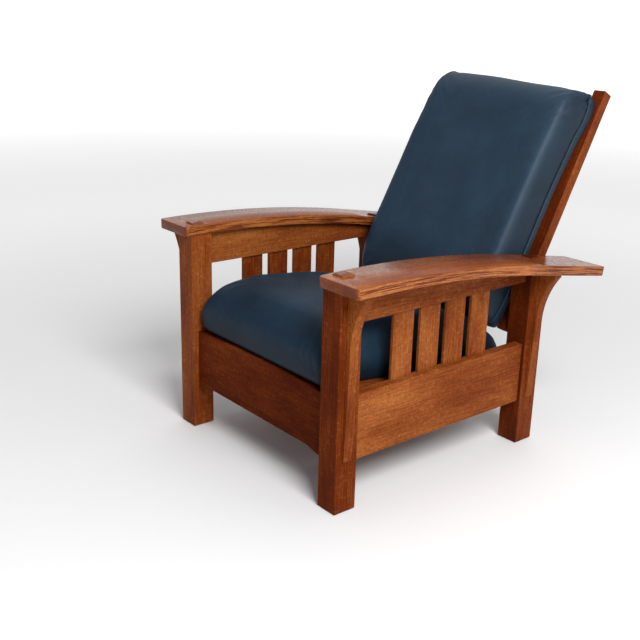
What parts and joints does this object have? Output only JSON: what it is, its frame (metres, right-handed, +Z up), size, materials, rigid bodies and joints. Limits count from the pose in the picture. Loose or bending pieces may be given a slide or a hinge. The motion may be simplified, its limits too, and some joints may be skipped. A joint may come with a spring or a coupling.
{
  "type": "reclining armchair",
  "caption": "Oak reclining armchair with bowed arms, slatted sides, a slanting back on pegs and leather seat and back cushions.",
  "frame": {"origin": "on the floor under the middle of the chair's bounding box, with the back at the angle of the picture", "axes": "+Z up, the chair faces -Y, +X is the sitter's left"},
  "size_m": [0.8724, 1.1015, 1.0146],
  "materials": {
    "oak": "satin",
    "frame_wood": "matte",
    "leather": "satin",
    "screw_brass": "satin",
    "washer_brass": "satin"
  },
  "bodies": {
    "base": {"arm_left": "oak", "arm_right": "oak", "cleat_screws": "screw_brass", "front_cleat": "frame_wood", "front_corbel_left": "oak", "front_corbel_right": "oak", "front_post_left": "oak", "front_post_right": "oak", "front_rail": "oak", "lower_side_rail_left": "oak", "lower_side_rail_right": "oak", "pivot_pin_left": "oak", "pivot_pin_right": "oak", "pivot_washer_left": "washer_brass", "pivot_washer_right": "washer_brass", "rear_cleat": "frame_wood", "rear_corbel_left": "oak", "rear_corbel_right": "oak", "rear_post_left": "oak", "rear_post_right": "oak", "rear_rail": "oak", "seat_cushion": "leather", "seat_frame_front": "frame_wood", "seat_frame_rear": "frame_wood", "seat_frame_side_left": "frame_wood", "seat_frame_side_right": "frame_wood", "seat_slat_1": "frame_wood", "seat_slat_2": "frame_wood", "seat_slat_3": "frame_wood", "seat_slat_4": "frame_wood", "seat_slat_5": "frame_wood", "seat_slat_6": "frame_wood", "side_slat_1_left": "oak", "side_slat_1_right": "oak", "side_slat_2_left": "oak", "side_slat_2_right": "oak", "side_slat_3_left": "oak", "side_slat_3_right": "oak", "side_slat_4_left": "oak", "side_slat_4_right": "oak", "upper_side_rail_left": "oak", "upper_side_rail_right": "oak"},
    "back": {"back_cushion": "leather", "back_rung_1": "oak", "back_rung_2": "oak", "back_rung_3": "oak", "back_rung_4": "oak", "back_rung_5": "oak", "back_stile_left": "oak", "back_stile_right": "oak"},
    "peg_left": {"peg_left": "oak"},
    "peg_right": {"peg_right": "oak"}
  },
  "joints": [
    {"name": "back_recline", "type": "hinge", "parent": "base", "child": "back", "pos_m": [0, 0.20186, 0.347], "axis": [1, 0, 0], "range_deg": [0, 10]},
    {"name": "peg_left_slide", "type": "slide", "parent": "base", "child": "peg_left", "axis": [-1, 0, 0], "range_m": [0, 0.046]},
    {"name": "peg_right_slide", "type": "slide", "parent": "base", "child": "peg_right", "axis": [1, 0, 0], "range_m": [0, 0.046]}
  ]
}
